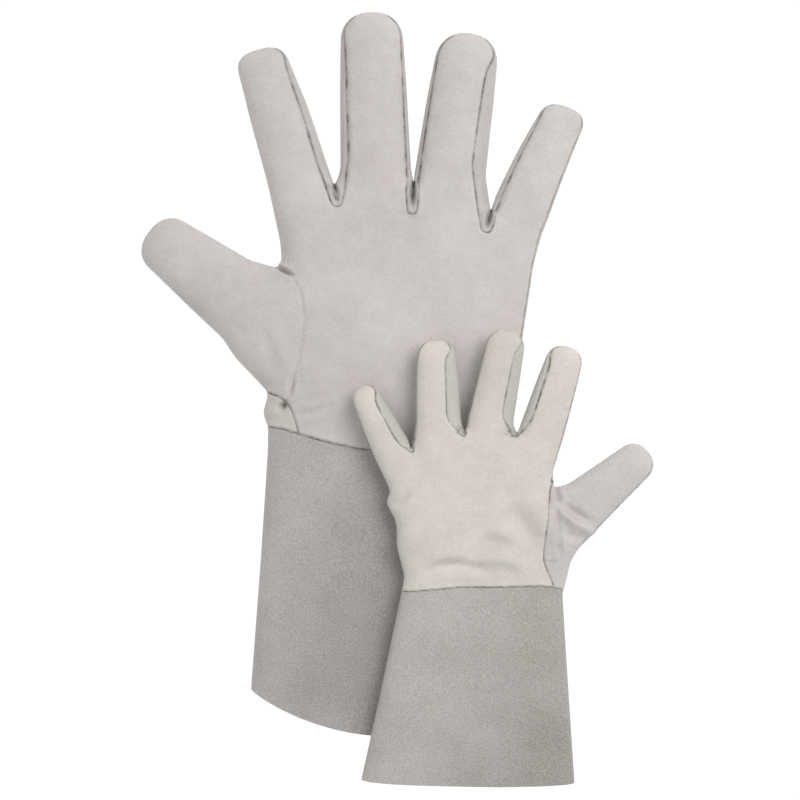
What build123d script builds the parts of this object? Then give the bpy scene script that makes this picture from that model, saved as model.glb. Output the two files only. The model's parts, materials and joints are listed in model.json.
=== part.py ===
from build123d import *
from dataclasses import dataclass
from math import cos, radians, sin
import os

# Two left-hand welding gauntlets lying one on the other. Each has a hand of thin grain leather,
# sewn from a palm piece, a back piece, side strips between the fingers and a two-piece thumb,
# and a long flared cuff of split leather. Millimetres, +Z up, fingers towards +Y.
# The finger and palm leathers are each divided where the glove folds at a finger's root.

LEATHER = 1.2            # grain leather of the hand
CUFF_LEATHER = 1.5       # split leather of the cuff
RESTING_GAP = 0.5        # air between the two gloves where one lies on the other
ELASTIC_THICKNESS = 0.8  # strip sewn inside the wrist, against the back leather
ELASTIC_WIDTH = 8.0
ELASTIC_SHARE = 0.55     # of the wrist's width that the strip gathers
OVERREACH = 1.0          # how far a cutting zone passes the edge that it cuts


@dataclass
class Finger:
    name: str
    width: float         # at its folding line
    tip_width: float     # where the rounded tip starts
    tip_round: float     # length of the rounded tip
    length: float        # from the folding line to the tip
    lean: float          # degrees from +Y, away from the thumb
    rise: float          # from the knuckle line to the folding line
    gap: float           # to the neighbour on the thumb side, along the knuckle line


@dataclass
class Thumb:
    crotch_up: float     # from the wrist seam to the crotch beside the index finger
    crotch_inset: float  # how far that crotch cuts in from the wrist's side
    heel_up: float       # from the wrist seam to the lower end of the thumb's root
    length: float        # from the middle of the root to the tip
    lean: float          # degrees from +Y, on the thumb side
    tip_width: float


@dataclass
class Cuff:
    length: float        # along the middle, wrist seam to bottom edge
    width: float         # at the bottom corners
    sway: float          # bottom edge's middle, off the wrist's middle, away from the thumb
    curve: float         # how far the bottom edge drops between its corners


@dataclass
class Glove:
    name: str
    depth: float         # outside, back leather to palm leather
    palm_length: float   # wrist seam to the knuckle line
    knuckle_shift: float # middle of the knuckle row, off the wrist's middle
    wrist_width: float
    heel_bulge: float    # how far the little-finger side stands out past the wrist
    heel_up: float       # and where, above the wrist seam
    crotch_depth: float  # from a finger's folding line down to the fork beside it
    fingers: list
    thumb: Thumb
    cuff: Cuff
    place: Location      # from the glove's own frame (palm up, thumb at -X) to the pair's


large = Glove(
    name="large",
    depth=24.0,
    palm_length=112.0,
    knuckle_shift=15.2,
    wrist_width=121.0,
    heel_bulge=11.5,
    heel_up=52.0,
    crotch_depth=8.5,
    fingers=[
        Finger("index", 31.0, 26.0, 11.0, 71.0, -16.0, 26.0, 0.0),
        Finger("middle", 34.5, 33.0, 13.0, 81.5, -1.7, 30.0, 0.8),
        Finger("ring", 34.5, 32.0, 13.0, 71.5, 7.5, 29.3, 0.0),
        Finger("little", 27.5, 25.0, 11.0, 59.0, 21.8, 11.0, 5.0),
    ],
    thumb=Thumb(92.0, 8.5, 26.0, 81.5, 53.0, 26.0),
    cuff=Cuff(153.5, 143.0, 2.5, 20.0),
    place=Location((0, 0, 0)),
)

SMALL_DEPTH = 16.0
SMALL_ACROSS = 51.5      # wrist of the upper glove, from the wrist of the lower one
SMALL_DOWN = 77.0
small = Glove(
    name="small",
    depth=SMALL_DEPTH,
    palm_length=70.0,
    knuckle_shift=8.7,
    wrist_width=83.0,
    heel_bulge=5.0,
    heel_up=46.0,
    crotch_depth=5.5,
    fingers=[
        Finger("index", 22.0, 18.5, 8.0, 44.7, -17.5, 13.3, 0.0),
        Finger("middle", 22.0, 19.5, 8.5, 46.5, -11.3, 18.4, 3.5),
        Finger("ring", 22.5, 19.5, 8.5, 42.8, 1.8, 16.0, 0.4),
        Finger("little", 18.0, 14.0, 7.0, 34.5, 26.0, 4.0, 2.0),
    ],
    thumb=Thumb(53.0, 5.6, 12.0, 60.0, 50.0, 15.0),
    cuff=Cuff(103.0, 110.5, 7.65, 3.0),
    # back up, so turned over about its own length
    place=Location(
        (SMALL_ACROSS, -SMALL_DOWN, large.depth + RESTING_GAP + SMALL_DEPTH), (0, 180, 0)
    ),
)


# ---- where things lie on one glove --------------------------------------------------------


def finger_axis(finger):
    return Vector(sin(radians(finger.lean)), cos(radians(finger.lean)))


def finger_across(finger):
    return Vector(cos(radians(finger.lean)), -sin(radians(finger.lean)))


def folding_points(glove):
    """Middle of each finger's folding line, from the finger widths and gaps in a row."""
    row = [f.width / cos(radians(f.lean)) for f in glove.fingers]
    x = glove.knuckle_shift - (sum(row) + sum(f.gap for f in glove.fingers)) / 2
    points = []
    for finger, width in zip(glove.fingers, row):
        x += finger.gap + width / 2
        points.append(Vector(x, glove.palm_length) + finger_axis(finger) * finger.rise)
        x += width / 2
    return points


def folding_ends(glove):
    """Thumb-side end and far end of each finger's folding line."""
    return [
        (p - finger_across(f) * (f.width / 2), p + finger_across(f) * (f.width / 2))
        for f, p in zip(glove.fingers, folding_points(glove))
    ]


def forks(glove):
    """The fork between each two neighbouring fingers."""
    ends = folding_ends(glove)
    return [
        Vector((a[1].X + b[0].X) / 2, min(a[1].Y, b[0].Y) - glove.crotch_depth)
        for a, b in zip(ends, ends[1:])
    ]


def thumb_root(glove):
    """Upper and lower end of the thumb's folding line."""
    side = -glove.wrist_width / 2
    upper = Vector(side + glove.thumb.crotch_inset, glove.thumb.crotch_up)
    return upper, Vector(side, glove.thumb.heel_up)


def thumb_axis(glove):
    return Vector(-sin(radians(glove.thumb.lean)), cos(radians(glove.thumb.lean)))


def finger_place(glove, index):
    point = folding_points(glove)[index]
    return Location((point.X, point.Y, 0), (0, 0, -glove.fingers[index].lean))


# ---- flat outlines ------------------------------------------------------------------------


def flat(x_low, x_high, y_low, y_high):
    middle = ((x_low + x_high) / 2, (y_low + y_high) / 2)
    return Pos(*middle) * Rectangle(x_high - x_low, y_high - y_low)


def finger_outline(finger):
    half_root = finger.width / 2
    half_tip = finger.tip_width / 2
    shoulder = finger.length - finger.tip_round
    sides = Polyline((-half_tip, shoulder), (-half_root, 0), (half_root, 0), (half_tip, shoulder))
    tip = ThreePointArc((half_tip, shoulder), (0, finger.length), (-half_tip, shoulder))
    return make_face(sides + tip)


def palm_outline(glove):
    points = [Vector(-glove.wrist_width / 2, 0), thumb_root(glove)[1], thumb_root(glove)[0]]
    for ends, fork in zip(folding_ends(glove), forks(glove) + [None]):
        points += [*ends, fork] if fork else [*ends]
    points.append(Vector(glove.wrist_width / 2 + glove.heel_bulge, glove.heel_up))
    points.append(Vector(glove.wrist_width / 2, 0))
    return make_face(Polyline(*points, close=True))


def thumb_outline(glove):
    upper, lower = thumb_root(glove)
    axis = thumb_axis(glove)
    radius = glove.thumb.tip_width / 2
    centre = (upper + lower) / 2 + axis * (glove.thumb.length - radius)
    side = Vector(axis.Y, -axis.X) * radius
    sides = Polyline(centre - side, lower, upper, centre + side)
    tip = ThreePointArc(centre + side, centre + axis * radius, centre - side)
    return make_face(sides + tip)


def cuff_outline(glove):
    cuff = glove.cuff
    half_wrist = glove.wrist_width / 2
    left = (cuff.sway - cuff.width / 2, cuff.curve - cuff.length)
    right = (cuff.sway + cuff.width / 2, cuff.curve - cuff.length)
    sides = Polyline(left, (-half_wrist, 0), (half_wrist, 0), right)
    bottom = ThreePointArc(right, (cuff.sway, -cuff.length), left)
    return make_face(sides + bottom)


# ---- leather panels -----------------------------------------------------------------------


def raised(sketch, low, high):
    return Pos(0, 0, low) * extrude(sketch, high - low)


def rim(outline, wall):
    return outline - offset(outline, -wall, kind=Kind.INTERSECTION)


def facing(outline, glove, wall):
    """The palm-side leather of an outline."""
    return raised(outline, glove.depth - wall, glove.depth)


def backing(outline, wall):
    return raised(outline, 0, wall)


def standing(strip, glove, wall):
    """A strip of leather on edge, between the palm-side and the back leathers."""
    return raised(strip, wall, glove.depth - wall)


def finger_panels(glove, index):
    finger = glove.fingers[index]
    outline = finger_outline(finger)
    edge = rim(outline, LEATHER)
    shoulder = finger.length - finger.tip_round
    reach = finger.width
    tip = edge & flat(-reach, reach, shoulder, finger.length + OVERREACH)
    inner_root = finger.width / 2 - LEATHER
    mouth = flat(-inner_root, inner_root, -OVERREACH, LEATHER)
    thumb_side = (edge & flat(-reach, 0, 0, shoulder)) - mouth
    far_side = mirror(thumb_side, Plane.YZ)
    middle = glove.depth / 2
    front = facing(outline, glove, LEATHER) + raised(tip, middle, glove.depth - LEATHER)
    back = backing(outline, LEATHER) + raised(tip, LEATHER, middle)
    thumb_side = standing(thumb_side, glove, LEATHER)
    far_side = standing(far_side, glove, LEATHER)
    stem = f"{glove.name}_{finger.name}"
    if index == 0:
        return {f"{stem}_front": front + thumb_side, f"{stem}_back": back, f"{stem}_fourchette": far_side}
    if index == len(glove.fingers) - 1:
        return {f"{stem}_front": front, f"{stem}_back": back + far_side, f"{stem}_fourchette": thumb_side}
    pair = Compound([*thumb_side.solids(), *far_side.solids()])
    return {f"{stem}_front": front, f"{stem}_back": back, f"{stem}_fourchettes": pair}


def palm_panels(glove):
    outline = palm_outline(glove)
    ends = folding_ends(glove)
    upper, lower = thumb_root(glove)
    inner_wrist = glove.wrist_width / 2 - LEATHER
    edge = rim(outline, LEATHER)
    edge -= flat(-inner_wrist, inner_wrist, -OVERREACH, 2 * LEATHER)
    for finger, point in zip(glove.fingers, folding_points(glove)):
        inner_root = finger.width / 2 - LEATHER
        mouth = flat(-inner_root, inner_root, -2 * LEATHER, OVERREACH)
        edge -= Location((point.X, point.Y, 0), (0, 0, -finger.lean)) * mouth
    inward = Vector(2 * LEATHER, 0)
    edge -= make_face(Polyline(upper - inward, lower - inward, lower + inward, upper + inward, close=True))
    crotches = []
    for fork, left, right in zip(forks(glove), ends, ends[1:]):
        reach = max((left[1] - fork).length, (right[0] - fork).length) + LEATHER
        around = Pos(fork.X, fork.Y) * Circle(reach)
        crotches += standing(edge & around, glove, LEATHER).solids()
        edge -= around
    far = glove.wrist_width + glove.palm_length
    middle = glove.knuckle_shift
    little_side = standing(edge & flat(middle, far, 0, far), glove, LEATHER)
    index_side = standing(edge & flat(-far, middle, (upper.Y + lower.Y) / 2, far), glove, LEATHER)
    heel_side = standing(edge & flat(-far, middle, 0, (upper.Y + lower.Y) / 2), glove, LEATHER)
    half_elastic = glove.wrist_width * ELASTIC_SHARE / 2
    elastic = flat(-half_elastic, half_elastic, ELASTIC_WIDTH, 2 * ELASTIC_WIDTH)
    return {
        f"{glove.name}_palm": facing(outline, glove, LEATHER) + index_side,
        f"{glove.name}_hand_back": backing(outline, LEATHER) + little_side + heel_side,
        f"{glove.name}_finger_crotches": Compound(crotches),
        f"{glove.name}_wrist_elastic": raised(elastic, LEATHER, LEATHER + ELASTIC_THICKNESS),
    }


def thumb_panels(glove):
    """The palm-side piece turns down along the upper edge, the back piece up along the lower."""
    outline = thumb_outline(glove)
    upper, lower = thumb_root(glove)
    axis = thumb_axis(glove)
    radius = glove.thumb.tip_width / 2
    root = (upper + lower) / 2
    centre = root + axis * (glove.thumb.length - radius)
    side = Vector(axis.Y, -axis.X) * glove.thumb.length
    inward = Vector(2 * LEATHER, 0)
    edge = rim(outline, LEATHER)
    edge -= make_face(Polyline(upper - inward, lower - inward, lower + inward, upper + inward, close=True))
    beyond = axis * glove.thumb.length
    tip_zone = make_face(
        Polyline(centre - side, centre + side, centre + side + beyond, centre - side + beyond, close=True)
    )
    tip = edge & tip_zone
    edge -= tip_zone
    walls = edge.faces().sort_by(Axis.Y)
    middle = glove.depth / 2
    front = facing(outline, glove, LEATHER) + raised(tip, middle, glove.depth - LEATHER)
    back = backing(outline, LEATHER) + raised(tip, LEATHER, middle)
    return {
        f"{glove.name}_thumb_front": front + standing(walls[-1], glove, LEATHER),
        f"{glove.name}_thumb_back": back + standing(walls[0], glove, LEATHER),
    }


def cuff_panels(glove):
    """Two pieces of one pattern, each turned round one side and sewn at the other."""
    outline = cuff_outline(glove)
    half_wrist = glove.wrist_width / 2
    reach = glove.cuff.width
    low = glove.cuff.curve - glove.cuff.length
    edge = rim(outline, CUFF_LEATHER)
    edge -= flat(CUFF_LEATHER - half_wrist, half_wrist - CUFF_LEATHER, -2 * CUFF_LEATHER, OVERREACH)
    edge &= flat(-reach, reach, low + 2 * CUFF_LEATHER, OVERREACH)
    walls = edge.faces().sort_by(Axis.X)
    return {
        f"{glove.name}_cuff_front": facing(outline, glove, CUFF_LEATHER)
        + standing(walls[0], glove, CUFF_LEATHER),
        f"{glove.name}_cuff_back": backing(outline, CUFF_LEATHER)
        + standing(walls[-1], glove, CUFF_LEATHER),
    }


# ---- the pair -----------------------------------------------------------------------------


def glove_panels(glove):
    panels = {}
    panels.update(cuff_panels(glove))
    panels.update(palm_panels(glove))
    for index in range(len(glove.fingers)):
        place = finger_place(glove, index)
        panels.update({name: place * shape for name, shape in finger_panels(glove, index).items()})
    panels.update(thumb_panels(glove))
    return {name: glove.place * shape for name, shape in panels.items()}


pair = {**glove_panels(large), **glove_panels(small)}
extent = Compound([solid for shape in pair.values() for solid in shape.solids()]).bounding_box()
# the origin is under the middle of the pair, on the surface that it lies on
to_origin = Pos(-extent.center().X, -extent.center().Y, -extent.min.Z)

os.makedirs("parts", exist_ok=True)
for name, shape in pair.items():
    export_step(to_origin * shape, f"parts/{name}.step")
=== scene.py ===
import json
from math import cos, pi, radians, sin

import bpy
import numpy as np
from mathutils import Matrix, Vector, kdtree, noise
from mathutils.geometry import delaunay_2d_cdt


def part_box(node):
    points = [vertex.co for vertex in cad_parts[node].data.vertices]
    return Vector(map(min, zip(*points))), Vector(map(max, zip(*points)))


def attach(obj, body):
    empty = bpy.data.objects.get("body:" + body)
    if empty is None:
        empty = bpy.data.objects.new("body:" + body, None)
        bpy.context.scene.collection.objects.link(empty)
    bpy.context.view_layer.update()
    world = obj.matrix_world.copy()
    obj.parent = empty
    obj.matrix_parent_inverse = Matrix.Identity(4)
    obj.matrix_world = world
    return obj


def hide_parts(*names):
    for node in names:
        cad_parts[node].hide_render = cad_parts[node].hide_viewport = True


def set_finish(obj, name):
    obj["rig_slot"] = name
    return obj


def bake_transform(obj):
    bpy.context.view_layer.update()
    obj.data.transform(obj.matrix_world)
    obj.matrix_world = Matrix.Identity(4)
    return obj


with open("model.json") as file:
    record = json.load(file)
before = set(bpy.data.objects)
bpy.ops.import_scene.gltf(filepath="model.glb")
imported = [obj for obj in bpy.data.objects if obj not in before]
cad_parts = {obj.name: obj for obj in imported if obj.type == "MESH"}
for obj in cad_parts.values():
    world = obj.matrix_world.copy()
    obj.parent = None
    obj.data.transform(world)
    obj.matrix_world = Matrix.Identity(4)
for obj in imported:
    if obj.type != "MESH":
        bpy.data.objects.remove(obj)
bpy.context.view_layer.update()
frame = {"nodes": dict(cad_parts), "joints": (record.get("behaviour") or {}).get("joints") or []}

MM = 0.001

# ---- The sewn form of a glove ---------------------------------------------------------------
# Every leather panel is cut from one soft form: the glove lying flat, lightly puffed by the
# hand it was steamed on. Its outline is drawn finger by finger about the folding lines of the
# fingers, and the seams are drawn on it before the panels are cut apart along them.


class Finger:
    """One finger in its own line: along from its folding line, across to its right as seen."""

    def __init__(self, glove, name, length, widths, tip_round, sway=0.0, square=0.86):
        fold = next(j for j in frame["joints"] if j["name"] == f"{glove}_{name}_fold")
        self.name = name
        self.joint = Vector(fold["pos_m"])
        self.root = np.array(fold["pos_m"][:2]) / MM
        axis = fold["axis"]
        self.along = np.array([-axis[1], axis[0]])
        self.across = np.array([self.along[1], -self.along[0]])
        self.length = length
        self.widths = widths
        self.tip_round = tip_round
        self.sway = sway
        self.square = square

    def half_width(self, along):
        """Half the width at a distance from the folding line, from three widths along it."""
        stations = [0, self.length * 0.5, self.length - self.tip_round]
        return np.interp(along, stations, [w / 2 for w in self.widths])

    def at(self, along, across):
        """A point of the finger, which sways off its own line towards the tip."""
        across = across + self.sway * max(along / self.length, 0) ** 2
        return self.root + self.along * along + self.across * across

    def local(self, points):
        away = points - self.root
        return away @ self.along, away @ self.across

    def round_tip(self, turn, inset=0.0):
        """A point round the tip, from its left side at no turn to its right at half a turn."""
        along = self.length - self.tip_round + (self.tip_round - inset) * sin(turn) ** self.square
        across = (self.widths[-1] / 2 - inset) * abs(cos(turn)) ** self.square
        return self.at(along, -across * np.sign(cos(turn)))

    def outline(self, start=0.0):
        """Up the left side, round the tip and down the right side."""
        up = np.linspace(start, self.length - self.tip_round, 12)
        left = [self.at(s, -self.half_width(s)) for s in up]
        tip = [self.round_tip(t) for t in np.linspace(0, pi, 19)[1:-1]]
        right = [self.at(s, self.half_width(s)) for s in reversed(up)]
        return left + tip + right

    def side_line(self, hand, strip, end=0.05):
        """A seam down one side of the finger: from the middle of its tip to its root."""
        shoulder = self.length - self.tip_round
        turns = np.linspace(0.3, pi / 2, 8)
        rim = min(strip, 0.055 * self.widths[-1])
        insets = np.interp(turns, [0.3, 0.5, 1.1, pi / 2], [-1.0, rim, rim, strip * 0.75])
        tip = [self.round_tip(pi / 2 + hand * t, inset) for t, inset in zip(turns, insets)]
        stations = np.linspace(shoulder * 0.93, self.length * end, 8)
        shares = np.interp(stations / shoulder, [0, 0.5, 0.8, 1], [1.1, 1, 0.9, 0.75])
        down = [self.at(s, hand * (self.half_width(s) - strip * k)) for s, k in zip(stations, shares)]
        return tip + down


def resample(points, spacing, closed=False):
    """The same line with its points evenly spaced."""
    points = np.asarray(points, float)
    if closed:
        points = np.vstack([points, points[:1]])
    runs = np.linalg.norm(np.diff(points, axis=0), axis=1)
    reach = np.concatenate([[0], np.cumsum(runs)])
    count = max(2, int(round(reach[-1] / spacing)))
    wanted = np.linspace(0, reach[-1], count + 1)
    if closed:
        wanted = wanted[:-1]
    return np.column_stack([np.interp(wanted, reach, points[:, k]) for k in (0, 1)])


def softened(points, width, closed=False):
    """The same evenly spaced line with its corners rounded; open ends stay where they are."""
    reach = int(3 * width) + 1
    weight = np.exp(-0.5 * (np.arange(-reach, reach + 1) / width) ** 2)
    weight /= weight.sum()
    if closed:
        padded = np.vstack([points[-reach:], points, points[:reach]])
    else:
        before = 2 * points[0] - points[1 : reach + 1][::-1]
        after = 2 * points[-1] - points[-reach - 1 : -1][::-1]
        padded = np.vstack([before, points, after])
    return np.column_stack([np.convolve(padded[:, k], weight, "valid") for k in (0, 1)])


def inside(points, polygon):
    """Which points lie inside a closed polygon."""
    x, y = points[:, 0], points[:, 1]
    found = np.zeros(len(points), bool)
    for (x1, y1), (x2, y2) in zip(polygon, np.roll(polygon, -1, axis=0)):
        crosses = (y1 > y) != (y2 > y)
        if y1 == y2:
            continue
        found ^= crosses & (x < (x2 - x1) * (y - y1) / (y2 - y1) + x1)
    return found


def nearest(points, line, closed=False):
    """Distance from each point to a line, and the direction away from the line."""
    a = line if closed else line[:-1]
    b = np.roll(line, -1, axis=0) if closed else line[1:]
    step = b - a
    size = np.maximum((step**2).sum(1), 1e-9)
    best = np.full(len(points), 1e9)
    away = np.zeros((len(points), 2))
    for low in range(0, len(points), 4000):
        chunk = points[low : low + 4000]
        share = ((chunk[:, None] - a[None]) * step[None]).sum(2) / size[None]
        share = np.clip(share, 0, 1)
        gap = chunk[:, None] - (a[None] + step[None] * share[..., None])
        distance = np.sqrt((gap**2).sum(2))
        pick = distance.argmin(1)
        row = np.arange(len(chunk))
        best[low : low + 4000] = distance[row, pick]
        away[low : low + 4000] = gap[row, pick] / np.maximum(distance[row, pick], 1e-9)[:, None]
    return best, away


FAR = 200.0  # well past either glove, to close a zone that runs off its edge


class Glove:
    """The cut of one glove as it lies: its edge, its seams and the pieces between them."""

    def __init__(self, name, wrist, fingers, thumb, pitch, slit):
        self.name = name
        self.wrist = np.array(wrist)
        self.fingers = fingers
        self.thumb = thumb
        self.pitch = pitch
        self.slit = slit
        self.seams = {"top": [], "under": []}
        self.strips = {"top": [], "under": []}
        self.wrapped = {}
        self.cuts = []
        self.creases = []

    def on(self, *points):
        """Points given from the middle of the wrist."""
        return [self.wrist + np.array(p, float) for p in points]

    def forks(self, depth):
        """The fork between each two neighbouring fingers."""
        found = []
        for left, right in zip(self.fingers, self.fingers[1:]):
            a = left.at(0, left.half_width(0))
            b = right.at(0, -right.half_width(0))
            found.append(np.array([(a[0] + b[0]) / 2, min(a[1], b[1]) - depth]))
        return found

    def draw_edge(self, below_left, above_left, below_right, above_right, bottom, depth):
        """The whole outline, clockwise from the cuff's lower left corner."""
        self.fork = self.forks(depth)
        row = list(above_left)
        for index, finger in enumerate(self.fingers):
            row += finger.outline()
            if index < len(self.fork):
                row.append(self.fork[index])
        row += list(above_right)
        sides = [list(below_left), row, list(below_right)]
        line = np.array(sides[0] + sides[1] + sides[2])
        closed = softened(resample(line, self.pitch * 0.7), 1.6)
        end, start = closed[-1], closed[0]
        turn = np.linspace(0, 1, int(np.linalg.norm(end - start) / self.pitch))[1:-1, None]
        arc = end + (start - end) * turn
        arc[:, 1] -= 4 * bottom * (turn * (1 - turn))[:, 0]
        self.edge = np.vstack([closed, arc])
        self.sides = closed

    def seam(self, side, points, soft=2.0, depth=1.0, dust_and_shade=1.0):
        """A sewn line: how deep it pulls the leather in, and how much darkening its valley holds: grey
        dust together with painted shade.
        """
        line = softened(resample(points, 1.0), soft)
        self.seams[side].append((line, depth, dust_and_shade))
        return line

    def crease(self, points, depth, width, side="top"):
        """A fold worn into the leather, or a soft ridge where the depth is less than none."""
        line = softened(resample(points, 1.0), 2.0)
        self.creases.append((side, line, depth, width))

    def fork_seam(self, side, index, strips, drop):
        """The seam of a side strip: down one finger, under the fork and up the next finger."""
        left, right = self.fingers[index], self.fingers[index + 1]
        down = left.side_line(1, strips[0])
        up = right.side_line(-1, strips[1])[::-1]
        low = self.fork[index] - (left.along + right.along) / 2 * drop
        turn = (left.across + right.across) / 2 * min(drop, 8.0) * 0.3
        line = self.seam(side, down + [low - turn, low + turn] + up, 2.0)
        self.strips[side].append(line)
        if side == "top":
            slit = self.fork[index] + (self.fork[index] - low) * 0.25
            self.crease([slit, low * 0.75 + self.fork[index] * 0.25], self.slit, self.pitch * 0.8)

    def outer_seam(self, side, finger, hand, inset, *below):
        """The seam beside a finger where one leather is wrapped round its outer side."""
        line = self.seam(side, finger.side_line(hand, inset, 0.0) + list(below), 2.4)
        beyond = [(hand * FAR, line[-1][1]), (hand * FAR, line[0][1])]
        self.wrapped[side] = np.vstack([line, beyond])

    def cut_fingers(self, outer):
        """Where the flat leathers are divided across each finger's root."""
        first, last = self.fingers[0], self.fingers[-1]
        ends = [first.at(-outer, -first.half_width(0) - outer)]
        ends += self.fork
        ends.append(last.at(-outer, last.half_width(0) + outer))
        self.cuts = [np.array(pair) for pair in zip(ends, ends[1:])]

    def areas(self, points):
        """The name of the part of the hand that each point belongs to."""
        names = np.full(len(points), "hand", object)
        best = np.full(len(points), 1e9)
        for finger, (a, b) in zip(self.fingers, self.cuts):
            along, across = finger.local(points)
            step, away = b - a, points - a
            past = step[0] * away[:, 1] - step[1] * away[:, 0] > 0
            near = past & (np.abs(across) < best) & (along > -finger.widths[0])
            names[near] = finger.name
            best[near] = np.abs(across)[near]
        names[inside(points, self.thumb_zone)] = "thumb"
        line = self.wrist_seam
        names[points[:, 1] < np.interp(points[:, 0], line[:, 0], line[:, 1])] = "cuff"
        return names


# The lower glove lies palm up with its thumb to the left.
large = Glove(
    "large",
    wrist=(-6.98, -21.73),
    fingers=[
        Finger("large", "index", 71.0, (33.0, 31.0, 27.5), 12.5, sway=-2.0, square=0.68),
        Finger("large", "middle", 82.5, (37.0, 35.0, 33.0), 16.0),
        Finger("large", "ring", 73.0, (37.0, 35.0, 33.0), 17.5, sway=0.8),
        Finger("large", "little", 57.5, (30.0, 27.0, 24.5), 11.5, sway=3.0, square=0.7),
    ],
    thumb=Finger("large", "thumb", 83.5, (47.0, 38.0, 31.0), 14.0),
    pitch=1.7,
    slit=4.5,
)
large.thumb.along = np.array([-sin(radians(53)), cos(radians(53))])
large.thumb.across = np.array([large.thumb.along[1], -large.thumb.along[0]])
thumb_edge = large.thumb.outline()
large.draw_edge(
    below_left=large.on(
        (-69.3, -130.6), (-64, -60), (-60.5, -6), (-60.3, 7),
        (-63.2, 14), (-60, 24.5), (-68.8, 33.8), (-77.6, 43),
    ),
    above_left=thumb_edge[3:-8] + large.on((-70, 94.3), (-55, 90), (-53.2, 94), (-54, 104)),
    above_right=large.on((83, 107), (79, 92), (73, 52), (66.5, 8)),
    below_right=large.on((61, -2), (66, -60), (74.5, -130.6)),
    bottom=23.0,
    depth=8.5,
)

# The upper glove lies back up with its thumb to the right.
small = Glove(
    "small",
    wrist=(44.52, -98.73),
    fingers=[
        Finger("small", "little", 34.5, (19.5, 16.5, 14.5), 8.0),
        Finger("small", "ring", 42.8, (23.5, 22.0, 19.5), 9.0),
        Finger("small", "middle", 46.5, (23.5, 21.5, 20.0), 9.0),
        Finger("small", "index", 44.7, (23.0, 21.0, 19.0), 9.0),
    ],
    thumb=Finger("small", "thumb", 60.5, (31.0, 24.5, 20.5), 10.0),
    pitch=1.35,
    slit=2.5,
)
small.thumb.along = np.array([sin(radians(50)), cos(radians(50))])
small.thumb.across = np.array([small.thumb.along[1], -small.thumb.along[0]])
thumb_edge = small.thumb.outline()
small.draw_edge(
    below_left=small.on((-62.6, -97.8), (-54, -59), (-42.3, -3), (-40.3, 7), (-44.2, 22), (-44.4, 35)),
    above_left=small.on((-49.8, 45), (-47.5, 51)),
    above_right=small.on((36, 61), (36.6, 52.5)) + thumb_edge[4:] + small.on((45, 14), (43, 5)),
    below_right=small.on((41, -1.5), (44, -50), (47.2, -99.2)),
    bottom=1.4,
    depth=5.5,
)

# Lower glove, seen from its palm: side strips, wrapped little-finger side, thumb and wrist.
large.cut_fingers(8.0)
for side in ("top", "under"):
    large.fork_seam(side, 0, (4.6, 4.4), 12.0)
    large.fork_seam(side, 1, (3.0, 3.0), 17.0)
    large.fork_seam(side, 2, (7.0, 3.4), 12.0)
side_run = large.on((80.6, 107), (77.2, 92), (71.0, 52), (64.2, 8), (60, -1))
large.outer_seam("top", large.fingers[-1], 1, 1.9, *side_run)
side_run = large.on((-50, 104), (-47.0, 90))
large.outer_seam("under", large.fingers[0], -1, 3.0, *side_run)
thumb_line = large.on(
    (-55, 90.8), (-50.5, 87), (-46.8, 84.6), (-43.6, 79), (-41.3, 70),
    (-41.5, 52), (-45, 36), (-47.5, 27), (-51, 20),
)
under_thumb = large.on((-51, 20), (-55, 23), (-62, 26.5))
heel_line = large.on((-51, 20), (-47.8, 16.1), (-45.8, 10.4), (-44.2, 4.2))
wrist_line = large.on(
    (-63, 8.2), (-50.4, 5.2), (-33.3, 0), (-12.5, -4.6), (2, -5), (20, -3), (42, 1), (66, 5)
)
for side in ("top", "under"):
    thumb_seam = large.seam(side, thumb_line, depth=0.4, dust_and_shade=0.22)
    lower_seam = large.seam(side, under_thumb)
    large.wrist_seam = large.seam(side, wrist_line, dust_and_shade=0.8)
heel_seam = large.seam("top", heel_line, dust_and_shade=0.7)
large.heel_zone = np.vstack([lower_seam[::-1], heel_seam[1:], large.on((-FAR, 4), (-FAR, 26))])
large.thumb_zone = np.vstack([thumb_seam, lower_seam[1:], large.on((-FAR, 26), (-FAR, 170))])
large.crease(large.on((-54.0, 20.0), (-50.5, 15.5)), 4.0, 2.8)
large.crease(large.on((-46.8, 34), (-47.8, 28), (-48.6, 21)), 1.2, 1.4)
large.crease(large.on((-45, 13.5), (-39, 13.2), (-32.8, 15.6), (-25, 18)), 0.9, 1.7)
large.crease(large.on((-44, 20.5), (-36, 21.5), (-29, 24.5)), 0.6, 1.5)
large.crease(large.on((-41.5, 37), (-44.5, 31)), 0.6, 1.2)
large.crease(large.on((-56, 89.8), (-51.5, 88), (-46, 85.6)), 2.9, 1.1)
large.crease(large.on((-64, 60), (-59, 46), (-54, 34)), 0.8, 3.2)
large.crease(large.on((9, 118.5), (15, 114), (22, 115)), 0.7, 1.4)
large.crease(large.on((-20, 100), (4, 80), (22, 50), (26, 20)), 1.6, 14.0)

# Upper glove, seen from its back: the thumb-side leather comes round to a seam down the hand.
small.cut_fingers(6.0)
for index, strips in enumerate([(5.2, 0.8), (6.8, 0.8), (6.0, 4.0)]):
    small.fork_seam("top", index, strips, 2.6)
    small.fork_seam("under", index, (2.5, 2.5), 5.0)
small.outer_seam("top", small.fingers[-1], 1, 1.2, *small.on((36.5, 66), (34.4, 56)))
small.outer_seam("under", small.fingers[0], -1, 2.5, *small.on((-46, 50), (-41, 20), (-38, 0)))
thumb_line = small.on(
    (39, 60), (34.3, 55.0), (33.2, 38), (31.6, 27), (30.7, 16), (33.1, 9.4), (35.6, 4.2), (35.9, 2.4)
)
wrist_line = small.on((-44, -1), (-33, 0), (-13, 2), (7.3, 2), (33, 2.6), (44, 0))
for side in ("top", "under"):
    thumb_seam = small.seam(side, thumb_line)
    small.wrist_seam = small.seam(side, wrist_line, depth=0.8)
thumb_side = [small.thumb.round_tip(t, 1.3) for t in np.linspace(1.7, pi, 6)]
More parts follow.
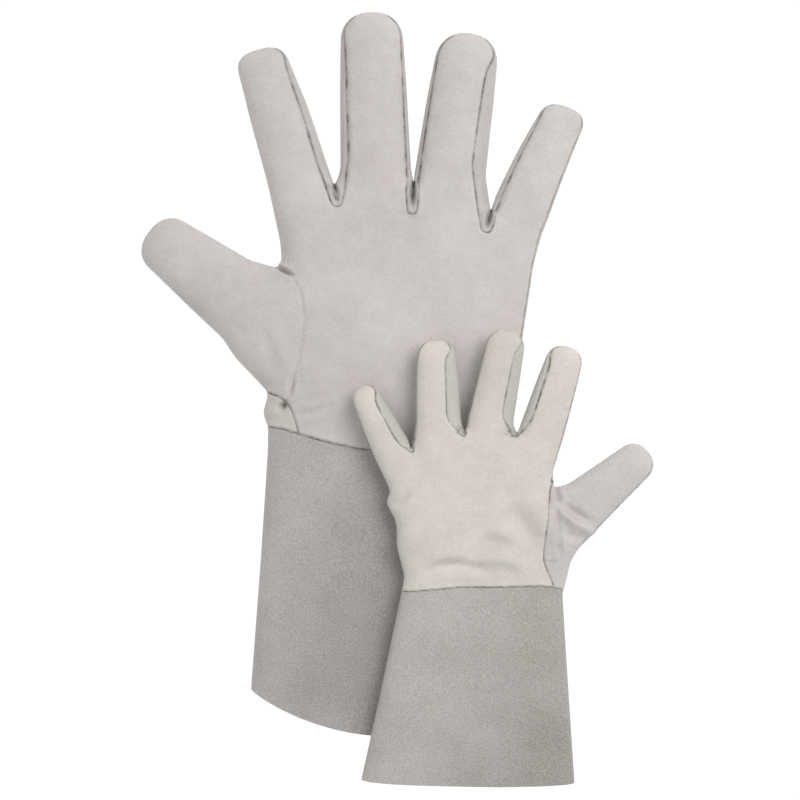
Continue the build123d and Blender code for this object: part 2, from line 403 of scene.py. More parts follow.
thumb_side += [small.thumb.at(s, small.thumb.half_width(s) - 1.3) for s in (44, 34, 24, 14)]
small.seam("top", thumb_side + small.on((48.2, 21.5), (44.3, 14), (42.4, 5.5)), depth=0.7, dust_and_shade=0.9)
small.crease(small.on((36.5, 53), (38.3, 49), (39.2, 44.5)), 2.4, 1.2)
small.crease(small.on((41.5, 45.5), (45.5, 40.5), (53.5, 34.0)), 1.95, 2.4)
small.crease(small.on((42.5, 49), (47, 46), (51, 41.5)), 0.7, 1.1)
small.crease(small.on((46, 50.5), (50, 47.5), (53.5, 43.5)), 0.5, 1.0)
small.crease(small.on((38, 42.5), (46, 36.5), (57, 29.8)), -1.9, 2.0)
small.crease(small.on((39.6, 33), (44, 28), (51.5, 26.5)), 1.9, 2.4)
small.crease(small.on((40.5, 26), (44, 22.5), (48, 21.5)), 0.6, 1.0)
small.crease(small.on((37.2, 43), (38.2, 33), (38.8, 24), (38.9, 15.5)), 1.8, 1.2)
small.crease(small.on((32.6, 14.8), (36, 14.2), (40.2, 14.9)), 0.9, 0.8)
small.crease(small.on((34.6, 11.6), (37, 11.2), (39.8, 12)), 0.6, 0.8)
small.crease(small.on((14, 46), (20, 33), (29.3, 17)), 3.2, 6.0)
small.crease(small.on((-30, 9.0), (-24, 12.6), (-13, 13.0), (4.5, 10.2)), 1.8, 2.6)
small.crease(small.on((-27, 15.5), (-17, 19.5), (-6.5, 25)), -1.4, 3.6)
small.crease(small.on((-1, 26.5), (11, 24.5), (23, 18)), 1.3, 3.0)
small.crease(small.on((-4, 17), (10, 16), (22, 11)), -0.7, 2.4)
small.crease(small.on((-38.5, 52), (-41.5, 46), (-47, 43)), 1.2, 1.8)
small.crease(small.on((-33, 47), (-41, 38.5), (-45, 33)), -0.7, 3.0)
small.heel_zone = np.zeros((3, 2))
small.thumb_zone = np.vstack([thumb_seam, small.on((FAR, -3), (FAR, 150))])


class Form:
    """The sewn form of a glove: one closed soft surface, its points and what each face is."""

    def __init__(self, glove, middle, above, below, softness, rounding):
        self.glove = glove
        self.place_points()
        self.puff(softness, rounding)
        self.stand_up(middle, above, below)

    def place_points(self):
        """Even points inside the edge, tied to the edge, to every seam and to every cut."""
        glove, pitch = self.glove, self.glove.pitch
        sewn = [line for line, _, _ in sum(glove.seams.values(), [])]
        lines = [(glove.edge, True)] + [(line, False) for line in sewn]
        lines += [(resample(cut, pitch), False) for cut in glove.cuts]
        points, ties = [], []
        for line, closed in lines:
            start = sum(len(p) for p in points)
            points.append(line)
            count = len(line)
            links = range(count if closed else count - 1)
            ties += [(start + k, start + (k + 1) % count) for k in links]
        low, high = glove.edge.min(0), glove.edge.max(0)
        grid = []
        for k, y in enumerate(np.arange(low[1], high[1], pitch * 0.866)):
            grid += [(x, y) for x in np.arange(low[0] + (k % 2) * pitch / 2, high[0], pitch)]
        grid = np.array(grid)
        grid = grid[inside(grid, glove.edge)]
        for line, closed in lines:
            room = pitch * (0.62 if closed else 0.55)
            grid = grid[nearest(grid, line, closed)[0] > room]
        beside = self.beside_seams(sewn, pitch * 0.42)
        tree = kdtree.KDTree(len(beside))
        for index, point in enumerate(beside):
            tree.insert((*point, 0), index)
        tree.balance()
        clear = [tree.find((*point, 0))[2] > pitch * 0.6 for point in grid]
        points += [beside, grid[clear]]
        points = np.vstack(points)
        made = delaunay_2d_cdt([Vector(p) for p in points], ties, [], 0, 1e-4, False)
        self.flat = np.array([tuple(v) for v in made[0]])
        faces = np.array([f for f in made[2] if len(f) == 3])
        centres = self.flat[faces].mean(1)
        faces = faces[inside(centres, glove.edge)]
        a, b, c = (self.flat[faces[:, k]] for k in range(3))
        area = (b[:, 0] - a[:, 0]) * (c[:, 1] - a[:, 1]) - (c[:, 0] - a[:, 0]) * (b[:, 1] - a[:, 1])
        faces[area < 0] = faces[area < 0][:, ::-1]
        faces = faces[np.abs(area) > 1e-5]
        used = np.unique(faces)
        renumber = np.full(len(self.flat), -1)
        renumber[used] = np.arange(len(used))
        self.flat = self.flat[used]
        self.faces = renumber[faces]
        self.centres = self.flat[self.faces].mean(1)

    def beside_seams(self, sewn, step):
        """Closer rows of points beside each seam, to hold the shape of its valley."""
        found = []
        for row in (1, 2, 3, 4.2):
            for line in sewn:
                way = np.gradient(line, axis=0)
                way = np.column_stack([-way[:, 1], way[:, 0]]) / np.linalg.norm(way, axis=1)[:, None]
                found += [line + way * step * row, line - way * step * row]
        found = np.vstack(found)
        cells = np.unique(np.round(found / (step * 0.95)), axis=0, return_index=True)[1]
        found = found[np.sort(cells)]
        found = found[inside(found, self.glove.edge)]
        clear = nearest(found, self.glove.edge, True)[0] > step
        for line in sewn:
            clear &= nearest(found, line)[0] > step * 0.8
        return found[clear]

    def puff(self, softness, rounding):
        """How full the form stands at each point: an elastic skin held down along its edge."""
        glove = self.glove
        count = len(self.flat)
        first, second, pull = [], [], []
        mass = np.zeros(count)
        for a, b, c in ((0, 1, 2), (1, 2, 0), (2, 0, 1)):
            a, b, c = self.faces[:, a], self.faces[:, b], self.faces[:, c]
            p, q = self.flat[a] - self.flat[c], self.flat[b] - self.flat[c]
            twice = np.maximum(np.abs(p[:, 0] * q[:, 1] - p[:, 1] * q[:, 0]), 1e-4)
            share = np.clip((p * q).sum(1) / twice / 2, -2, 12)
            first += [a, b]
            second += [b, a]
            pull += [share, share]
            mass += np.bincount(c, twice / 6, count)
        first, second, pull = np.concatenate(first), np.concatenate(second), np.concatenate(pull)
        own = np.bincount(first, pull, count) + mass / softness**2
        gap, away = nearest(self.flat, glove.sides)
        self.held = gap < 1e-3
        free = ~self.held

        def tension(u):
            return (own * u - np.bincount(first, pull * u[second], count)) * free

        u = np.zeros(count)
        rest = mass * free
        z = rest / own
        step, size = z.copy(), (rest * z).sum()
        for _ in range(350):
            tight = tension(step)
            rate = size / (step * tight).sum()
            u += rate * step
            rest -= rate * tight
            z = rest / own
            fresh = (rest * z).sum()
            step = z + fresh / size * step
            size = fresh
            if size < 1e-9:
                break
        turned = rounding * (1 - np.cos(np.clip(gap / rounding, 0, 1) * pi / 2))
        share = np.where(gap < rounding, turned / np.maximum(gap, 1e-6), 1)
        self.edge_gap = gap
        self.full = np.sqrt(np.maximum(u * share, 0)) / softness
        drawn_in = (gap - np.minimum(turned, gap)) * (gap < rounding)
        self.plan = self.flat - away * drawn_in[:, None]

    def stand_up(self, middle, above, below):
        """Two skins, one over the other, that meet along the glove's sides."""
        count = len(self.flat)
        wrist = self.glove.wrist_seam
        past_wrist = self.plan[:, 1] - np.interp(self.plan[:, 0], wrist[:, 0], wrist[:, 1])
        nipped = 1 - 0.16 * np.exp(-((past_wrist / (10 * self.glove.pitch)) ** 2))
        top = np.column_stack([self.plan, middle + above * self.full * nipped])
        under = np.column_stack([self.plan, middle - below * self.full * nipped])
        self.under_of = np.where(self.held, np.arange(count), count + np.arange(count))
        self.points = np.vstack([top, under])
        self.top_faces = self.faces
        self.under_faces = self.under_of[self.faces][:, ::-1]

    def normals(self):
        faces = np.vstack([self.top_faces, self.under_faces])
        a, b, c = (self.points[faces[:, k]] for k in range(3))
        across = np.cross(b - a, c - a)
        total = np.zeros_like(self.points)
        for k in range(3):
            np.add.at(total, faces[:, k], across)
        size = np.linalg.norm(total, axis=1)
        return total / np.maximum(size, 1e-12)[:, None]


FORM_SIZES = {
    "large": dict(middle=9.5, above=13.0, below=9.2, softness=13.0, rounding=6.0),
    "small": dict(middle=31.5, above=8.6, below=6.6, softness=8.5, rounding=4.2),
}


def rumple(points, size, seed):
    """Smooth unevenness from -1 to 1, about size across."""
    shift = Vector((seed * 17.3, seed * 5.1, seed * 9.7))
    return np.array([noise.noise(Vector(p) / size + shift) for p in points])


def work_in_seams(form, scale):
    """Sewn seams pull the leather in to a narrow valley between two soft rolls, with puckers."""
    glove, count = form.glove, len(form.flat)
    normals = form.normals()
    slow = rumple(form.points, 34 * scale, 1) * 0.9 + rumple(form.points, 15 * scale, 2) * 0.35
    tight = rumple(form.points * (1, 1, 0.4), 4.6 * scale, 3)
    # Each seam valley is darkened: grey dust together with painted shade where the valley lies in
    # shade.
    form.seam_dust = []
    calm = np.clip(form.edge_gap / (4 * scale), 0, 1)
    wrist = glove.wrist_seam
    above = form.flat[:, 1] - np.interp(form.flat[:, 0], wrist[:, 0], wrist[:, 1])
    lapped = np.where(above > 0, 0.9 * np.exp(-above / (5 * scale)), 0)
    let_out = np.clip(form.edge_gap / (2.4 * scale), 0.2, 1)
    for side, low, high in (("top", 0, count), ("under", count, 2 * count)):
        gap, sewn, dust_and_shade = np.full(count, 1e3), np.zeros(count), np.zeros(count)
        for line, depth, grime_and_shade in glove.seams[side]:
            own_gap = nearest(form.flat, line)[0]
            valley = -0.95 * np.exp(-((own_gap / (0.62 * scale)) ** 2))
            roll = 0.24 * np.exp(-(((own_gap - 1.7 * scale) / (1.2 * scale)) ** 2))
            deeper = depth * np.abs(valley) > np.abs(sewn)
            sewn = np.where(deeper, depth * (valley + roll), sewn)
            sewn = np.where((own_gap < gap) & ~deeper, np.maximum(sewn, depth * roll), sewn)
            dust_and_shade = np.maximum(dust_and_shade, grime_and_shade * np.exp(-((own_gap / (0.5 * scale)) ** 2)))
            gap = np.minimum(gap, own_gap / max(depth, 0.3))
        uneven = 0.8 + 0.55 * tight[low:high]
        dust_and_shade *= np.clip(0.75 + 0.8 * tight[low:high], 0.3, 1.0)
        pucker = 0.35 * tight[low:high] * np.exp(-gap / (4.5 * scale)) * np.clip(gap / scale, 0, 1)
        wave = slow[low:high] * np.clip(gap / (9 * scale), 0.15, 1)
        push = sewn * let_out * uneven + (pucker + wave + lapped) * calm
        push *= scale
        for crease_side, line, depth, width in glove.creases:
            if crease_side != side:
                continue
            across = nearest(form.flat, line)[0] / width
            chord = line[-1] - line[0]
            share = np.clip((form.flat - line[0]) @ chord / (chord @ chord), 0.02, 0.98)
            fold = np.exp(-(across**2)) - 0.35 * np.exp(-((across - 1.9) ** 2))
            fold *= np.sin(share * pi) ** 0.6 * np.clip(form.edge_gap / scale, 0, 1)
            push -= depth * fold
            # Deep narrow creases, such as the slits at the forks, are painted darker: painted shade in
            # the fold.
            dust_and_shade = np.maximum(dust_and_shade, np.clip((depth - 2.0) / 2, 0, 0.8) * fold * (width < 4))
        form.seam_dust.append(dust_and_shade)
        form.points[low:high] += normals[low:high] * push[:, None]
    form.points[:, 2] = np.maximum(form.points[:, 2], 0.25)
    held = np.flatnonzero(form.held)
    form.points[held + count] = form.points[held]
    form.seam_dust = np.concatenate(form.seam_dust)
    form.seam_dust[held + count] = form.seam_dust[held]


forms = {}
for glove, scale in ((large, 1.0), (small, 0.72)):
    forms[glove.name] = Form(glove, **FORM_SIZES[glove.name])
    work_in_seams(forms[glove.name], scale)


# ---- Leather panels -------------------------------------------------------------------------
# Each hand is a palm, a back, strips between the fingers and a two-piece thumb of soft grain
# leather a little over 1 mm thick. Each cuff is two pieces of thicker split leather. All are
# cut flat and sewn together inside out.

LEATHER = 1.2
CUFF_LEATHER = 1.5


def piece_names(form):
    """Which piece each face of the upper and of the under skin belongs to."""
    glove = form.glove
    areas = glove.areas(form.centres)
    middle_fingers = [f.name for f in glove.fingers[1:-1]]
    named = {}
    for side in ("top", "under"):
        palm_side = (side == "top") == (glove is large)
        strip = np.zeros(len(areas), bool)
        for line in glove.strips[side]:
            strip |= inside(form.centres, line)
        turned = inside(form.centres, glove.wrapped[side])
        heel = inside(form.centres, glove.heel_zone) & (side == "top")
        names = []
        for area, is_strip, is_turned, is_heel in zip(areas, strip, turned, heel):
            palm = palm_side != bool(is_turned or (is_heel and area == "hand"))
            if area in ("cuff", "thumb"):
                names.append(f"{area}_{'front' if palm_side else 'back'}")
            elif area == "hand":
                names.append("finger_crotches" if is_strip else "palm" if palm else "hand_back")
            elif is_strip:
                names.append(f"{area}_fourchette" + ("s" if area in middle_fingers else ""))
            else:
                names.append(f"{area}_{'front' if palm else 'back'}")
        named[side] = np.array(names, object)
    return named


def sew_panel(form, normals, faces, thickness, name):
    """One cut piece of leather, with its thickness and its cut edge."""
    used, flat = np.unique(faces, return_inverse=True)
    faces = flat.reshape(-1, 3)
    outer = form.points[used]
    lift = normals[used]
    inner = outer - lift * thickness
    count = len(used)
    ends = np.vstack([faces[:, [0, 1]], faces[:, [1, 2]], faces[:, [2, 0]]])
    found = np.unique(np.sort(ends, axis=1), axis=0, return_index=True, return_counts=True)
    places, shared = found[1:]
    rim = ends[places[shared == 1]]
    walls = np.column_stack([rim[:, 1], rim[:, 0], rim[:, 0] + count, rim[:, 1] + count])
    mesh = bpy.data.meshes.new(name)
    shapes = faces.tolist() + (faces[:, ::-1] + count).tolist() + walls.tolist()
    mesh.from_pydata((np.vstack([outer, inner]) * MM).tolist(), [], shapes)
    mesh.polygons.foreach_set("use_smooth", [True] * len(shapes))
    ways = np.vstack([lift[faces.ravel()], -lift[faces[:, ::-1].ravel()], np.zeros((walls.size, 3))])
    mesh.normals_split_custom_set(ways.tolist())
    # The darkening of seams and creases, grey dust and painted shade, goes with the piece as its seam
    # value.
    dust_and_shade = mesh.attributes.new("seam", "FLOAT", "POINT")
    dust_and_shade.data.foreach_set("value", np.tile(form.seam_dust[used], 2))
    piece = bpy.data.objects.new(name, mesh)
    bpy.context.scene.collection.objects.link(piece)
    return piece


def follow_hand(piece, glove, area):
    """Pieces of the hand, and the lower glove's cuff, are attached to the hand's body; finger, thumb
    and the upper glove's cuff pieces only have their placing baked in.
    """
    hand = f"{glove.name}_hand"
    finger = next((f for f in glove.fingers if f.name == area), None)
    if finger:
        cut = glove.cuts[glove.fingers.index(finger)]
        start = max(finger.local(cut)[0]) + 0.3
        ends = (finger.at(start, 0), finger.at(start + 0.42 * finger.length, 0))
        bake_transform(piece)
    elif area == "thumb":
        axis = next(j for j in frame["joints"] if j["name"] == f"{glove.name}_thumb_fold")["axis"]
        outward = Vector((-axis[1], axis[0], 0))
        start = glove.thumb.joint + outward * 0.0025
        end = start + outward * 0.4 * glove.thumb.length * MM
        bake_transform(piece)
    elif area == "cuff" and glove is small:
        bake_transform(piece)
    else:
        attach(piece, hand)


def cut_size(node):
    """A CAD leather laid flat: its width with the side it turns up, its length, and its area."""
    low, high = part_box(node)
    area = sum(face.area for face in frame["nodes"][node].data.polygons) / 2
    return (high[0] - low[0] + high[2] - low[2], high[1] - low[1]), area


SLOTS = {"front": "palm_leather", "palm": "palm_leather", "back": "back_leather"}
panels = {}
for glove in (large, small):
    form = forms[glove.name]
    normals = form.normals()
    named = piece_names(form)
    for part in sorted(set(named["top"]) | set(named["under"])):
        above = form.top_faces[named["top"] == part]
        below = form.under_faces[named["under"] == part]
        faces = np.vstack([above, below])
        cuff = part.startswith("cuff")
        node = f"{glove.name}_{part}"
        piece = sew_panel(form, normals, faces, CUFF_LEATHER if cuff else LEATHER, f"{node}_leather")
        panels[node] = piece
        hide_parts(node)
        slot = SLOTS.get(part.split("_")[-1], "side_strip_leather")
        if node == "small_thumb_back":
            slot = "palm_leather"
        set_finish(piece, "split_leather" if cuff else slot)
        follow_hand(piece, glove, part.split("_")[0])
        if part in ("palm", "hand_back") or cuff:
            flat_cut, area = cut_size(node)


class Shade:
    """A value or colour on its way through a material, so that its maths reads as maths."""

    def __init__(self, tree, socket):
        self.tree = tree
        self.socket = socket

    def node(self, kind, settings=None, out=0, **values):
        """Any other node: its settings first, then what its sockets are given."""
        made = self.tree.nodes.new(kind)
        for key, value in (settings or {}).items():
            setattr(made, key, value)
        for key, value in values.items():
            socket = made.inputs[int(key[1:]) if key[1:].isdigit() else key.replace("_", " ")]
            if isinstance(value, Shade):
                self.tree.links.new(value.socket, socket)
            else:
                socket.default_value = value
        return Shade(self.tree, made.outputs[out])

    def math(self, operation, a, b=0.0, **settings):
        return self.node("ShaderNodeMath", {"operation": operation, **settings}, i0=a, i1=b)

    def __add__(self, other):
        return self.math("ADD", self, other)

    def __radd__(self, other):
        return self.math("ADD", other, self)

    def __sub__(self, other):
        return self.math("SUBTRACT", self, other)

    def __rsub__(self, other):
        return self.math("SUBTRACT", other, self)

    def __mul__(self, other):
        return self.math("MULTIPLY", self, other)

    def __rmul__(self, other):
        return self.math("MULTIPLY", other, self)

    def __pow__(self, other):
        return self.math("POWER", self, other)

    def kept(self):
        """Held between 0 and 1."""
        return self.math("ADD", self, 0.0, use_clamp=True)

    def colours(self, low, high):
        """From one colour to another as this value goes from 0 to 1."""
        settings = {"data_type": "RGBA", "clamp_factor": True}
        return self.node("ShaderNodeMix", settings, 2, i0=self, i6=low, i7=high)

    def darkened(self, by):
        """This colour multiplied by another."""
        settings = {"data_type": "RGBA", "blend_type": "MULTIPLY"}
        return self.node("ShaderNodeMix", settings, 2, i0=1.0, i6=self, i7=by)

    def feed(self, shader, name):
        """Joined to one socket of the main shader."""
        self.tree.links.new(self.socket, shader.inputs[name])


def start_material(name):
    """A new material: its main shader, and the place on the piece as the first value."""
    material = bpy.data.materials.new(name)
    material.use_nodes = True
    tree = material.node_tree
    shader = tree.nodes["Principled BSDF"]
    place = Shade(tree, tree.nodes.new("ShaderNodeTexCoord").outputs["Object"])
    return material, shader, place


def noise_at(place, size_mm, detail=2.0, rough=0.5):
    """Unevenness of about one size."""
    scale = 1000 / size_mm
    return place.node(
        "ShaderNodeTexNoise", Vector=place, Scale=scale, Detail=detail, Roughness=rough
    )


def linear(red, green, blue):
    """A colour given from 0 to 255, as the shader takes it."""
    return (*[(c / 255) ** 2.2 for c in (red, green, blue)], 1.0)


def along(place, x, y):
    """A slow change across the piece, in parts per metre along X and along Y: painted light and shade,
    one side of the piece lighter and the other darker.
    """
    across = place.node("ShaderNodeSeparateXYZ", out=0, i0=place)
    up = place.node("ShaderNodeSeparateXYZ", out=1, i0=place)
    return across * x + up * y


def grain_leather(name, tone, warm, grain_mm, lean):
    """Soft, matt, undyed grain leather: fine pebbled pores, faint clouds, grey dust and painted shade
    in seams and deep creases, and painted light and shade sloping across the piece.
    """
    material, shader, place = start_material(name)
    clouds = noise_at(place, 42, 3.0)
    patches = noise_at(place, 9, 4.0, 0.6)
    specks = noise_at(place, 1.3, 3.0, 0.7)
    # The slope from along() is painted light and shade across the piece.
    mottle = clouds * 0.9 + patches * 0.7 + specks * 0.9 - 0.75 + along(place, *lean)
    body = mottle.kept().colours(linear(*tone), linear(*warm))
    # Seam valleys and deep creases turn dark grey: dust together with painted shade.
    seam = place.node("ShaderNodeAttribute", {"attribute_name": "seam"}, 2)
    line = (seam ** 1.5 * (0.75 + patches * 0.5)).kept()
    dust_and_shade_tint = line.colours((1, 1, 1, 1), linear(96, 91, 86))
    body.darkened(dust_and_shade_tint).feed(shader, "Base Color")
    edges = {"feature": "DISTANCE_TO_EDGE"}
    pores = place.node("ShaderNodeTexVoronoi", edges, Vector=place, Scale=1000 / grain_mm)
    fine = noise_at(place, grain_mm * 0.55, 3.0, 0.6)
    creases = noise_at(place, 3.4, 4.0, 0.65)
    height = (pores * 3.0).kept() * 0.5 + fine * 0.45 + creases * 1.1
    bump = place.node("ShaderNodeBump", Strength=0.62, Distance=0.0004, Height=height)
    bump.feed(shader, "Normal")
    rough = (0.5 + patches * 0.12 + specks * 0.1 + line * 0.15).kept()
    rough.feed(shader, "Roughness")
    shader.inputs["Specular IOR Level"].default_value = 0.35
    shader.inputs["Sheen Weight"].default_value = 0.12
    shader.inputs["Sheen Roughness"].default_value = 0.5
    return material


def split_leather(name, tone, dark, level, lean):
    """Split leather with its nap up: soft fibres brushed in clouds, no grain and no gloss; painted
    light and shade sloping across the piece, and grey dust with painted shade in seams.
    """
    material, shader, place = start_material(name)
    brushed = noise_at(place, 60, 2.0)
    clouds = noise_at(place, 20, 3.0, 0.5)
    nap = noise_at(place, 0.95, 3.0, 0.7)
    fibres = noise_at(place, 0.55, 3.0, 0.8)
    # The slope from along() is painted light and shade across the piece.
    depth = brushed * 0.4 + clouds * 0.3 + nap * 1.3 + fibres * 0.9 - 1.45 + level + along(place, *lean)
    body = depth.kept().colours(linear(*dark), linear(*tone))
    # Cuff seams turn grey: dust together with painted shade.
    seam = place.node("ShaderNodeAttribute", {"attribute_name": "seam"}, 2)
    dust_and_shade_tint = (seam * 0.8).kept().colours((1, 1, 1, 1), linear(140, 134, 128))
    body.darkened(dust_and_shade_tint).feed(shader, "Base Color")
    height = nap * 0.7 + fibres * 0.6 + clouds * 0.5
    bump = place.node("ShaderNodeBump", Strength=0.55, Distance=0.0006, Height=height)
    bump.feed(shader, "Normal")
    shader.inputs["Roughness"].default_value = 0.95
    shader.inputs["Specular IOR Level"].default_value = 0.15
    shader.inputs["Sheen Weight"].default_value = 0.25
    shader.inputs["Sheen Roughness"].default_value = 0.6
    return material


# Each grain leather: its darker and its lighter colour, its grain in mm, and its painted
# light-and-shade slope along X and Y.
GRAIN_TONES = {
    "large_palm_leather": ((188, 181, 178), (216, 210, 207), 1.0, (0.9, 0)),
    "large_back_leather": ((190, 184, 178), (217, 211, 205), 1.0, (0, 0)),
    "large_side_strip_leather": ((178, 172, 169), (206, 201, 198), 1.0, (0, 0)),
    "small_palm_leather": ((190, 183, 180), (218, 212, 209), 0.8, (0, 0)),
    "small_back_leather": ((200, 193, 187), (228, 222, 214), 0.8, (-1.5, 0)),
    "small_side_strip_leather": ((182, 180, 173), (208, 206, 200), 0.8, (0, 0)),
}
# Each split leather: its light and its dark colour, its overall level, and its painted light-and-shade
# slope along X and Y.
SPLIT_TONES = {
    "large_split_leather": ((196, 191, 189), (126, 121, 119), 0.55, (-4.8, 1.2)),
    "small_split_leather": ((196, 192, 187), (126, 122, 116), 1.04, (-3.4, 1.9)),
}
leathers = {name: grain_leather(name, *look) for name, look in GRAIN_TONES.items()}
leathers.update({name: split_leather(name, *look) for name, look in SPLIT_TONES.items()})
for node, piece in panels.items():
    piece.data.materials.append(leathers[f"{node.split('_')[0]}_{piece['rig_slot']}"])


# ---- Sewing thread --------------------------------------------------------------------------
# Waxed grey thread. The panels are lockstitched inside out, so only short stitches show, sunk
# in each seam where the leather opens a little.

STITCH = 2.0      # length of a stitch that shows
STEP = 3.1        # from one stitch to the next
THREAD = 0.24     # half the thickness of the thread


def stitches(glove, form):
    """Every stitch of a glove as its middle, its direction and the way out of the leather."""
    count = len(form.flat)
    normals = form.normals()
    found = []
    for side, low in (("top", 0), ("under", count)):
        tree = kdtree.KDTree(count)
        for index, point in enumerate(form.flat):
            tree.insert((*point, 0), index)
        tree.balance()
        for line, depth, dust_and_shade in glove.seams[side]:
            if dust_and_shade < 0.5:
                continue
            spots = resample(line, STEP)
            ways = np.gradient(spots, axis=0)
            for spot, way in zip(spots[1:-1], ways[1:-1]):
                index = tree.find((*spot, 0))[1]
                if form.edge_gap[index] < 1.5:
                    continue
                reach = way / np.linalg.norm(way) * 1.3
                ahead = tree.find((*(spot + reach), 0))[1]
                behind = tree.find((*(spot - reach), 0))[1]
                run = form.points[low + ahead] - form.points[low + behind]
                found.append((form.flat[index], form.points[low + index], run, normals[low + index]))
    return found


def thread_piece(name, rows):
    """All the stitches given, each a short round-ended length of thread."""
    points, faces = [], []
    turns = np.linspace(0, 2 * pi, 7)[:-1]
    for _, middle, run, out in rows:
        run = run / max(np.linalg.norm(run), 1e-6)
        side = np.cross(run, out)
        start = len(points)
        for reach, thick in ((-1, 0.35), (-0.7, 1), (0.7, 1), (1, 0.35)):
            bow = THREAD * (0.5 - 0.9 * reach**2)
            centre = middle + run * reach * STITCH / 2 + out * bow
            points += [centre + THREAD * thick * (side * cos(t) + out * sin(t)) for t in turns]
        for ring in range(3):
            for k in range(6):
                a, b = start + ring * 6 + k, start + ring * 6 + (k + 1) % 6
                faces.append((a, b, b + 6, a + 6))
        faces.append(tuple(range(start + 5, start - 1, -1)))
        faces.append(tuple(range(start + 18, start + 24)))
    mesh = bpy.data.meshes.new(name)
    mesh.from_pydata((np.array(points) * MM).tolist(), [], faces)
    mesh.polygons.foreach_set("use_smooth", [True] * len(faces))
    piece = bpy.data.objects.new(name, mesh)
    bpy.context.scene.collection.objects.link(piece)
    return piece


thread, shader, place = start_material("waxed_thread")
strands = noise_at(place, 0.4, 2.0)
tint = strands.colours(linear(120, 115, 108), linear(186, 181, 172))
tint.feed(shader, "Base Color")
shader.inputs["Roughness"].default_value = 0.55
for glove in (large, small):
    rows = stitches(glove, forms[glove.name])
    areas = glove.areas(np.array([row[0] for row in rows]))
    for area in sorted(set(areas)):
        here = [row for row, where in zip(rows, areas) if where == area]
        piece = thread_piece(f"{glove.name}_{area}_thread", here)
        piece.data.materials.append(thread)
        follow_hand(piece, glove, area)


# ---- Wrist elastic --------------------------------------------------------------------------
# A woven elastic strip sewn stretched inside each wrist against the back leather, which it
# gathers. It follows the inside of that leather.


def elastic_strip(glove, form):
    """A ribbed strip laid along the inside of the leather, 0.45 mm clear of it."""
    low, high = (np.array(corner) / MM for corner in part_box(f"{glove.name}_wrist_elastic"))
    thickness = high[2] - low[2]
    xs = np.linspace(low[0], high[0], 90)
    ys = np.linspace(low[1], high[1], 9)
    count = len(form.flat)
    skin = form.points[count:] if glove is large else form.points[:count]
    way = 1 if glove is large else -1
    rows = []
    for x in xs:
        for y in ys:
            near = ((skin[:, 0] - x) ** 2 + (skin[:, 1] - y) ** 2).argsort()[:6]
            rib = 0.12 * sin(x * 2 * pi / 1.6)
            z = skin[near, 2].mean() + way * (LEATHER + 0.45 + rib)
            rows.append((x, y, z))
    grid = np.array(rows)
    over = grid + (0, 0, way * thickness)
    number = np.arange(len(grid)).reshape(len(xs), len(ys))
    a, b, c, d = number[:-1, :-1], number[1:, :-1], number[1:, 1:], number[:-1, 1:]
    quads = np.stack([a, b, c, d], axis=-1).reshape(-1, 4)
    rim = np.concatenate([number[0, :], number[1:, -1], number[-1, -2::-1], number[-2:0:-1, 0]])
    around = np.column_stack([rim, np.roll(rim, -1)])
    walls = np.column_stack([around, around[:, ::-1] + len(grid)])
    mesh = bpy.data.meshes.new(f"{glove.name}_wrist_elastic_strip")
    faces = quads.tolist() + (quads[:, ::-1] + len(grid)).tolist() + walls.tolist()
    mesh.from_pydata((np.vstack([grid, over]) * MM).tolist(), [], faces)
    piece = bpy.data.objects.new(mesh.name, mesh)
    bpy.context.scene.collection.objects.link(piece)
    return piece


def woven_elastic():
    material, shader, place = start_material("woven_elastic")
    weave = place.node(
        "ShaderNodeTexWave", {"wave_type": "BANDS", "bands_direction": "X"}, 1,
        Vector=place, Scale=620.0, Distortion=0.6, Detail=1.0,
    )
    threads = noise_at(place, 0.5, 2.0)
    body = (weave * 0.6 + threads * 0.4).kept().colours(linear(176, 172, 162), linear(236, 233, 226))
    body.feed(shader, "Base Color")
    bump = place.node("ShaderNodeBump", Strength=0.6, Distance=0.0003, Height=weave)
    bump.feed(shader, "Normal")
    shader.inputs["Roughness"].default_value = 0.85
    return material


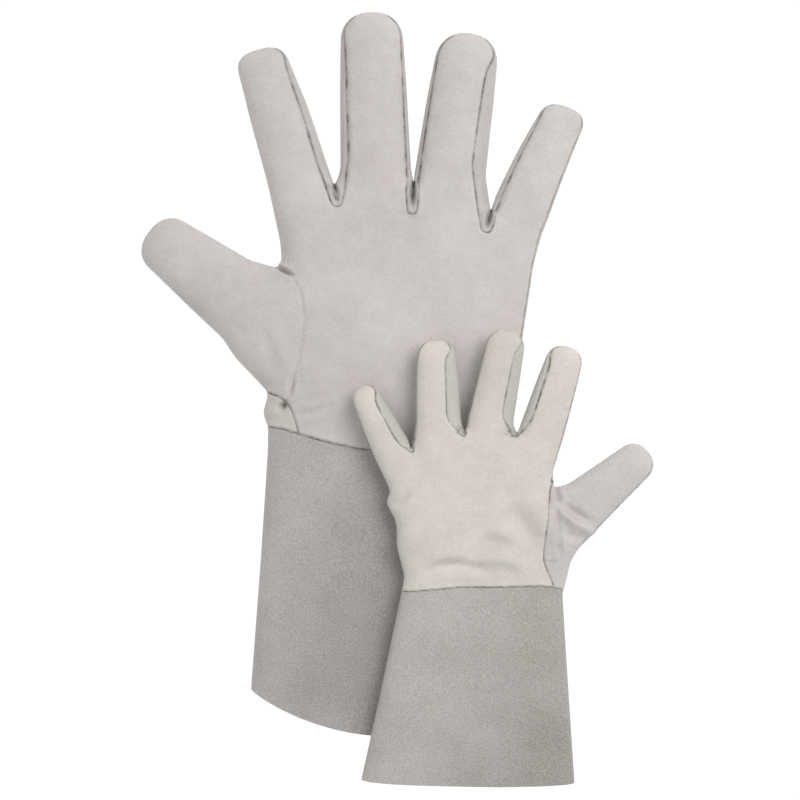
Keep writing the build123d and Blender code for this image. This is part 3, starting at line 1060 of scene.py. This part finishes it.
elastic = woven_elastic()
for glove in (large, small):
    strip = elastic_strip(glove, forms[glove.name])
    strip.data.materials.append(elastic)
    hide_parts(f"{glove.name}_wrist_elastic")
    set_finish(strip, "elastic")
    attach(strip, f"{glove.name}_hand")


# ---- Floor, light and camera ----------------------------------------------------------------
# A plain white sweep under broad soft lamps, seen from straight above.

FLOOR = 6.0
floor_mesh = bpy.data.meshes.new("floor")
corners = [(-FLOOR, -FLOOR, 0), (FLOOR, -FLOOR, 0), (FLOOR, FLOOR, 0), (-FLOOR, FLOOR, 0)]
floor_mesh.from_pydata(corners, [], [(0, 1, 2, 3)])
floor = bpy.data.objects.new("floor", floor_mesh)
bpy.context.scene.collection.objects.link(floor)
paper, shader, place = start_material("lit_white_sweep")
shader.inputs["Base Color"].default_value = (0.05, 0.05, 0.05, 1.0)
shader.inputs["Roughness"].default_value = 1.0
shader.inputs["Emission Color"].default_value = (1.0, 1.0, 1.0, 1.0)
shader.inputs["Emission Strength"].default_value = 1.0
floor_mesh.materials.append(paper)

world = bpy.data.worlds.new("studio")
world.use_nodes = True
world.node_tree.nodes["Background"].inputs["Color"].default_value = (1, 1, 1, 1)
world.node_tree.nodes["Background"].inputs["Strength"].default_value = 0.5
bpy.context.scene.world = world


def lamp(name, spot, size, power):
    light = bpy.data.lights.new(name, "AREA")
    light.size = size
    light.energy = power
    made = bpy.data.objects.new(name, light)
    made.location = spot
    made.rotation_euler = (-Vector(spot)).to_track_quat("-Z", "Y").to_euler()
    bpy.context.scene.collection.objects.link(made)


lamp("key", (0.95, 0.7, 1.6), 1.2, 21.5)
lamp("fill", (-1.3, 0.3, 1.9), 1.8, 8)

LENS = 100.0
SENSOR = 36.0
VIEW_SIZE = 0.416   # how wide the view is at the height of the upper leathers
camera_data = bpy.data.cameras.new("camera")
camera_data.lens = LENS
camera_data.sensor_width = SENSOR
camera = bpy.data.objects.new("camera", camera_data)
camera.location = (0.0019, -0.0009, 0.02 + VIEW_SIZE * LENS / SENSOR)
bpy.context.scene.collection.objects.link(camera)
bpy.context.scene.camera = camera
bpy.context.scene.view_settings.view_transform = "Standard"
